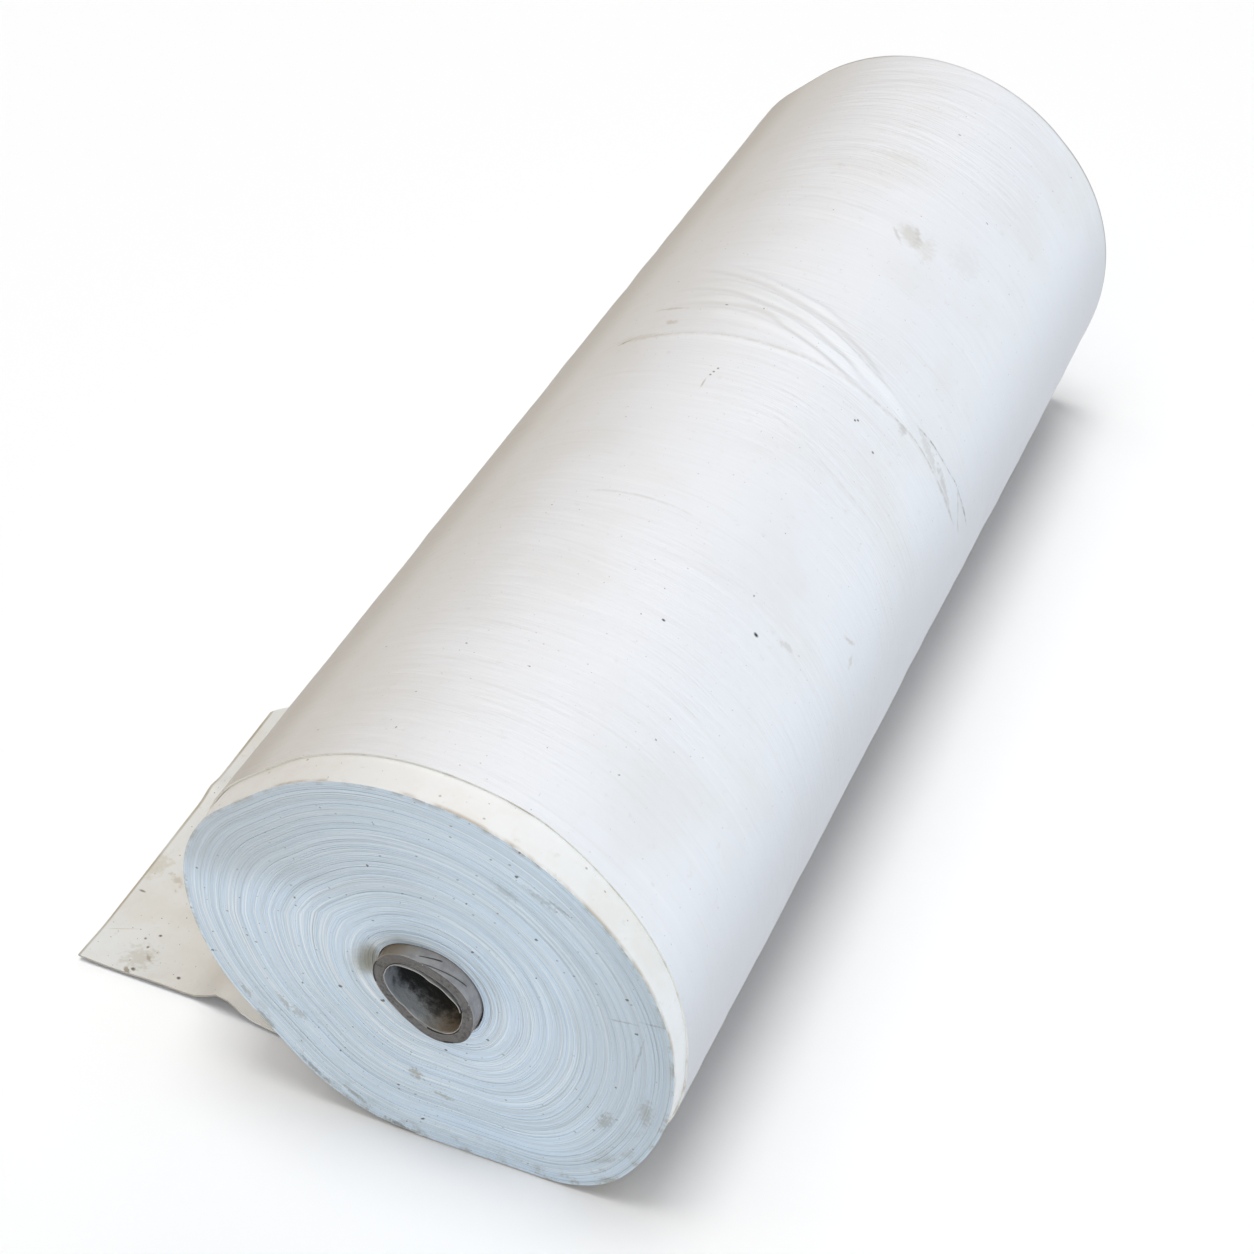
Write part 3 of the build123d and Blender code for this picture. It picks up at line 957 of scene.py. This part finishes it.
# Painted light: turns below the bend that runs from the left corner to the core are lighter
bend = split(tree, flat_place)
below = calculate(tree, "SUBTRACT", calculate(tree, "MULTIPLY_ADD", bend[0], 0.16, 0.205), bend[1])
lit_below_bend = times(tree, rise(tree, below, -0.008, 0.022), rise(tree, bend[0], -0.03, 0.05, 1.0, 0.0))
lit_lines_below_bend = times(tree, lit_below_bend, rise(tree, fine_lines, 0.52, 0.64), 0.40)
color = tint(tree, color, (0.94, 0.98, 1.0), lit_lines_below_bend)
# Painted shade on the turns above the bend, towards the left
shade_above_bend = times(tree, rise(tree, below, 0.004, -0.03), rise(tree, bend[0], -0.14, 0.07, 1.0, 0.0))
color = tint(tree, color, (0.50, 0.55, 0.585), times(tree, shade_above_bend, 0.70))
toward_right = rise(tree, bend[0], 0.07, 0.165, 0.0, 0.55)
color = tint(tree, color, (0.46, 0.53, 0.585), toward_right)
low_down = times(tree, rise(tree, bend[1], 0.18, 0.08), rise(tree, bend[0], 0.02, -0.08))
color = tint(tree, color, (0.48, 0.54, 0.58), times(tree, low_down, 0.20))
edge_specks = use_group(tree, specks, place=flat_place, spacing=0.0085, size=0.070, share=0.34, stretch=1.5)
color = tint(tree, color, (0.16, 0.15, 0.13), times(tree, edge_specks, 0.62))
low_specks = use_group(tree, specks, place=flat_place, spacing=0.0048, size=0.100, share=0.60, stretch=0.7)
low_specks = times(tree, low_specks, rise(tree, bend[1], 0.19, 0.07), rise(tree, bend[0], 0.08, -0.02))
color = tint(tree, color, (0.18, 0.17, 0.15), times(tree, low_specks, 0.65))
fewer_specks = use_group(tree, specks, place=flat_place, spacing=0.025, size=0.040, share=0.5, stretch=1.3)
color = tint(tree, color, (0.10, 0.09, 0.07), times(tree, fewer_specks, 0.85))
grime = cloud(tree, flat_place, 70.0, 5.0, 0.65)
near_rim = rise(tree, turn, 1.0, 4.5, 1.0, 0.0)
near_rim = times(tree, near_rim, rise(tree, grime, 0.46, 0.64, 0.0, 0.75))
color = tint(tree, color, (0.36, 0.36, 0.32), near_rim)
low_left = times(tree, rise(tree, turn, 2.0, 22.0, 1.0, 0.0), rise(tree, bend[1], 0.05, 0.12, 1.0, 0.0))
low_left = times(tree, low_left, rise(tree, grime, 0.51, 0.66, 0.0, 0.60))
color = tint(tree, color, (0.38, 0.40, 0.38), low_left)
# Stains of the front end, and painted shade with some dirt in the hollow beside the core, with their centres
# as (x, z)
edge_stains_and_shade = (
    # Painted shade with some dirt in the hollow beside the core at its upper left
    ((-0.0378, 0.1575), 0.0170, 0.0085, -1.25, 0.08, (0.12, 0.11, 0.085), 0.95),
    ((-0.0400, 0.1570), 0.0230, 0.0140, -1.25, 0.12, (0.36, 0.37, 0.33), 0.65),
    ((-0.1035, 0.0905), 0.0110, 0.0030, 1.00, 0.8, (0.36, 0.37, 0.35), 0.55),
    ((-0.1325, 0.0890), 0.0090, 0.0030, 1.05, 0.8, (0.34, 0.35, 0.33), 0.55),
    ((-0.1220, 0.0690), 0.0080, 0.0040, 0.90, 0.9, (0.40, 0.41, 0.38), 0.45),
    ((-0.0102, 0.0630), 0.0060, 0.0080, -0.45, 0.9, (0.36, 0.35, 0.30), 0.60),
    ((0.0080, 0.0500), 0.0100, 0.0030, 0.15, 0.8, (0.38, 0.37, 0.32), 0.55),
    ((0.1500, 0.1000), 0.0060, 0.0160, 0.0, 0.9, (0.36, 0.36, 0.33), 0.50),
    ((0.1222, 0.0795), 0.0060, 0.0120, 0.3, 0.8, (0.34, 0.36, 0.35), 0.60),
    ((0.1205, 0.0400), 0.0160, 0.0030, -0.5, 0.7, (0.36, 0.38, 0.37), 0.50),
    ((0.0600, 0.2562), 0.0120, 0.0050, 0.5, 0.8, (0.38, 0.41, 0.42), 0.40),
    ((0.0840, 0.2589), 0.0170, 0.0028, 0.6, 0.7, (0.34, 0.37, 0.38), 0.50),
    ((0.0952, 0.2564), 0.0110, 0.0014, 0.6, 0.6, (0.28, 0.29, 0.29), 0.60),
    ((0.1351, 0.1767), 0.0140, 0.0010, -0.1, 0.5, (0.34, 0.38, 0.40), 0.60),
    ((0.1555, 0.1820), 0.0120, 0.0010, -0.1, 0.5, (0.34, 0.38, 0.40), 0.60),
    ((0.1450, 0.1500), 0.0010, 0.0200, 0.2, 0.6, (0.34, 0.38, 0.40), 0.55),
    ((-0.0077, 0.0194), 0.0022, 0.0012, -0.6, 0.3, (0.04, 0.04, 0.04), 1.0),
    ((-0.0873, 0.0337), 0.0160, 0.0026, 0.75, 0.7, (0.26, 0.27, 0.25), 0.65),
    ((-0.0569, 0.0202), 0.0160, 0.0026, 0.60, 0.7, (0.26, 0.27, 0.25), 0.65),
    ((-0.0240, 0.0040), 0.0180, 0.0020, 0.25, 0.7, (0.22, 0.23, 0.21), 0.70),
    ((-0.0930, 0.0850), 0.0080, 0.0060, 0.8, 0.9, (0.34, 0.36, 0.35), 0.50),
)
at_front = calculate(tree, "LESS_THAN", split(tree, place)[1], 0.0)
color = add_stains_and_shade(tree, color, flat_place, cloud(tree, flat_place, 400.0, 5.0), edge_stains_and_shade, at_front)
tree.links.new(color, shader.inputs["Base Color"])
add_bump(tree, shader, calculate(tree, "ADD", fine_lines, thin_lines), 0.0005)

# Grey board of the core tube
core_grey, tree, shader = start_material("core_grey_board", 0.8)
place = add_node(tree, "ShaderNodeTexCoord").outputs["Object"]
along_core = sheet_place(tree)
spot_x, spot_y, spot_z = split(tree, place)
girth_place, depth_place = split(tree, along_core)[0], split(tree, along_core)[1]
fibres = cloud(tree, place, 420.0, 4.0, 0.6)
patchy = cloud(tree, place, 70.0, 4.0, 0.6)
color = tint(tree, (0.39, 0.365, 0.36), (0.28, 0.26, 0.258), rise(tree, patchy, 0.40, 0.66))
color = tint(tree, color, (0.40, 0.385, 0.37), rise(tree, fibres, 0.54, 0.74, 0.0, 0.5))
browned = times(tree, rise(tree, spot_x, 0.004, -0.016), rise(tree, spot_z, 0.160, 0.172))
color = tint(tree, color, (0.25, 0.185, 0.12), times(tree, browned, 0.8))
low_right = times(tree, rise(tree, spot_x, 0.008, 0.026), rise(tree, spot_z, 0.150, 0.132))
color = tint(tree, color, (0.24, 0.18, 0.125), times(tree, low_right, 0.55))
# Edges of the plies on the tube's end, darker at both rims of its wall
on_end = rise(tree, depth_place, core_low[1] + 0.0002, core_low[1] - 0.0004)
color = tint(tree, color, (0.135, 0.132, 0.130), times(tree, on_end, 0.85))
stained_end = times(tree, on_end, rise(tree, fibres, 0.46, 0.62), rise(tree, patchy, 0.40, 0.60, 0.25, 0.80))
color = tint(tree, color, (0.065, 0.061, 0.057), stained_end)
ply_thickness = 0.0011
ply_wave = calculate(tree, "SINE", times(tree, depth_place, 6.2832 / ply_thickness))
ply_wave = times(tree, on_end, rise(tree, ply_wave, 0.1, 0.9, 0.0, 0.30))
color = tint(tree, color, (0.09, 0.09, 0.09), ply_wave)
from_middle = calculate(tree, "SUBTRACT", depth_place, core_low[1] - core_wall / 2)
wall_rims = rise(tree, calculate(tree, "ABSOLUTE", from_middle), 0.0030, 0.0038, 0.0, 0.6)
color = tint(tree, color, (0.05, 0.048, 0.045), times(tree, on_end, wall_rims))


def spiral_seam(first, last, width):
    """Mask of an open seam on the tube's outside, from one place (angle, y) to another."""
    (angle_a, y_a), (angle_b, y_b) = first, last
    start, end = radians(angle_a) * core_radius, radians(angle_b) * core_radius
    slope = (y_b - y_a) / (end - start)
    seam_y = calculate(tree, "MULTIPLY_ADD", girth_place, slope, y_a - slope * start)
    offset = calculate(tree, "ABSOLUTE", calculate(tree, "SUBTRACT", depth_place, seam_y))
    low, high = min(start, end), max(start, end)
    fade_in = rise(tree, girth_place, low, low + 0.002)
    fade_out = rise(tree, girth_place, high - 0.002, high, 1.0, 0.0)
    return times(tree, rise(tree, offset, 0.0, width, 1.0, 0.0), fade_in, fade_out)


upper_seam = spiral_seam((97, -0.5070), (69, -0.5025), 0.0009)
lower_seam = spiral_seam((92, -0.5130), (31, -0.5050), 0.0008)
upper_lip = spiral_seam((100, -0.5080), (86, -0.5055), 0.0010)
lower_lip = spiral_seam((112, -0.5120), (100, -0.5112), 0.0010)
color = tint(tree, color, (0.62, 0.60, 0.57), times(tree, upper_lip, 0.7))
color = tint(tree, color, (0.50, 0.48, 0.45), times(tree, lower_lip, 0.6))
color = tint(tree, color, (0.015, 0.014, 0.013), times(tree, upper_seam, 0.95))
color = tint(tree, color, (0.04, 0.036, 0.032), times(tree, lower_seam, 0.85))
flecks = use_group(tree, specks, place=along_core, spacing=0.010, size=0.07, share=0.22, stretch=1.0)
color = tint(tree, color, (0.66, 0.64, 0.60), times(tree, flecks, 0.8))
tree.links.new(color, shader.inputs["Base Color"])
relief = calculate(tree, "MULTIPLY_ADD", fibres, 0.4, patchy)
relief = calculate(tree, "SUBTRACT", relief, calculate(tree, "ADD", upper_seam, lower_seam))
add_bump(tree, shader, relief, 0.0008)

# Wall behind the loose ply, which no light reaches
core_shaded, tree, shader = start_material("core_shaded_inside", 0.85)
shader.inputs["Base Color"].default_value = (0.05, 0.046, 0.042, 1)

# Loose inner ply of the core, paler at its torn edge
core_ply, tree, shader = start_material("core_pale_ply", 0.8)
place = add_node(tree, "ShaderNodeTexCoord").outputs["Object"]
fibres = cloud(tree, place, 380.0, 4.0, 0.6)
scuffs = cloud(tree, place, 95.0, 5.0, 0.65)
color = tint(tree, (0.42, 0.40, 0.385), (0.26, 0.25, 0.245), rise(tree, scuffs, 0.38, 0.64))
color = tint(tree, color, (0.33, 0.32, 0.31), rise(tree, fibres, 0.56, 0.76, 0.0, 0.5))
spot_x, spot_y, spot_z = split(tree, place)
low_right = times(tree, rise(tree, spot_x, 0.000, 0.022), rise(tree, spot_z, 0.152, 0.132))
color = tint(tree, color, (0.27, 0.20, 0.14), times(tree, low_right, 0.75))
ragged_y = calculate(tree, "MULTIPLY_ADD", calculate(tree, "SUBTRACT", scuffs, 0.5), 0.05, spot_y)
peeled = rise(tree, ragged_y, front_y + 0.012, front_y + 0.009)
peeled = times(tree, peeled, rise(tree, spot_x, 0.012, -0.010))
color = tint(tree, color, (0.50, 0.51, 0.53), times(tree, peeled, 0.55))
# Painted shade: the ply darkens further into the tube
shade_further_in = rise(tree, ragged_y, front_y - 0.006, front_y + 0.012)
color = tint(tree, color, (0.030, 0.029, 0.027), times(tree, shade_further_in, 0.92))
# Painted shade on the ply at the upper right, where it stands off the wall
upper_right = times(tree, rise(tree, spot_z, 0.140, 0.165), rise(tree, spot_x, -0.016, 0.006))
upper_right = times(tree, upper_right, rise(tree, ragged_y, front_y - 0.006, front_y + 0.004))
color = tint(tree, color, (0.045, 0.043, 0.040), times(tree, upper_right, 0.75))
torn = rise(tree, spot_y, front_y - 0.0115, front_y - 0.0127)
torn = times(tree, torn, rise(tree, spot_x, -0.012, 0.012, 0.06, 1.0))
color = tint(tree, color, (0.50, 0.48, 0.45), times(tree, torn, 0.75))
tree.links.new(color, shader.inputs["Base Color"])
add_bump(tree, shader, scuffs, 0.0015)

wound_felt.data.materials.append(felt_edge)
wound_felt.data.materials.append(felt_band)
for face in wound_felt.data.polygons:
    face.material_index = 0 if abs(face.center.y) > far_y - 0.02 else 1
outer_felt.data.materials.append(felt_face)
outer_felt.data.materials.append(felt_back)
outer_felt.data.materials.append(felt_rim)
core_board.data.materials.append(core_grey)
core_board.data.materials.append(core_shaded)
for face in core_board.data.polygons:
    inward = (core_x - face.center.x) * face.normal.x + (core_z - face.center.z) * face.normal.z
    face.material_index = 1 if inward > 0.020 and face.center.y < front_y + 0.06 else 0
inner_ply.data.materials.append(core_ply)
apply_modifiers(outer_felt)
apply_modifiers(inner_ply)
finish_shading(wound_felt, 25)
finish_shading(outer_felt, 50)
finish_shading(core_board, 40)
finish_shading(inner_ply, 40)

for piece in (wound_felt, outer_felt):
    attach(piece, "root")
    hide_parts("felt_roll")
for piece in (core_board, inner_ply):
    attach(piece, "root")
    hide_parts("core_tube")

# Floor

bpy.ops.object.select_all(action="DESELECT")
bpy.ops.mesh.primitive_plane_add(size=60, location=(0, 0, 0))
floor = bpy.context.object
floor.name = "floor"
floor_white, tree, shader = start_material("white_floor", 0.9)
shader.inputs["Base Color"].default_value = (0.93, 0.93, 0.93, 1)
shader.inputs["Specular IOR Level"].default_value = 0
floor.data.materials.append(floor_white)

# Light: even soft light on the part, and soft light from above on the floor under it

world = bpy.data.worlds.new("studio")
bpy.context.scene.world = world
world.use_nodes = True
world.node_tree.nodes["Background"].inputs["Color"].default_value = (1, 1, 1, 1)
world.node_tree.nodes["Background"].inputs["Strength"].default_value = 0.1

part_lit = bpy.data.collections.new("lit_part")
for piece in (wound_felt, outer_felt, core_board, inner_ply):
    part_lit.objects.link(piece)
floor_lit = bpy.data.collections.new("lit_floor")
floor_lit.objects.link(floor)


def add_sun(name, toward, softness, power, color, lights):
    """Soft lamp far off in the direction toward, for the pieces in the collection lights."""
    data = bpy.data.lights.new(name, "SUN")
    data.angle = radians(softness)
    data.energy = power * 3.1416
    data.color = color
    lamp = bpy.data.objects.new(name, data)
    bpy.context.scene.collection.objects.link(lamp)
    lamp.rotation_euler = Vector(toward).to_track_quat("Z", "Y").to_euler()
    lamp.light_linking.receiver_collection = lights


add_sun("part_top", (0, 0, 1), 40, 0.075, (1.0, 0.75, 0.4), part_lit)
add_sun("part_right", (0.5, 0, 1), 50, 0.27, (0.72, 0.86, 1.0), part_lit)
add_sun("part_front", (0, -0.6, 1), 50, 0.19, (1.0, 0.85, 0.52), part_lit)
add_sun("part_back", (0, 0.6, 1), 50, 0.325, (1.0, 0.88, 0.86), part_lit)
add_sun("part_right_front", (0.7, -0.7, 0.8), 60, 0.31, (0.50, 0.73, 1.0), part_lit)
add_sun("part_low_front", (0.1, -1, 0.35), 60, 0.12, (1.0, 0.78, 0.58), part_lit)
add_sun("floor_top", (0, 0, 1), 25, 0.41, (1, 1, 1), floor_lit)
add_sun("floor_right", (0.32, 0.1, 1), 35, 0.10, (1, 1, 1), floor_lit)
add_sun("floor_upper_left", (-0.3, 0, 1), 40, 0.105, (1, 1, 1), floor_lit)
add_sun("floor_left", (-0.5, 0, 1), 50, 0.118, (1, 1, 1), floor_lit)
add_sun("floor_front", (0, -0.6, 1), 50, 0.168, (1, 1, 1), floor_lit)
add_sun("floor_low_back", (0, 1, 0.6), 60, 0.21, (1, 1, 1), floor_lit)

# Camera

camera_data = bpy.data.cameras.new("camera")
camera_data.lens = 71.77
camera_data.sensor_width = 36
camera = bpy.data.objects.new("camera", camera_data)
bpy.context.scene.collection.objects.link(camera)
camera.location = (0.5295, -1.4174, 1.3044)
camera.rotation_euler = (radians(50.51), 0, radians(23.15))
bpy.context.scene.camera = camera
bpy.context.scene.view_settings.view_transform = "Standard"
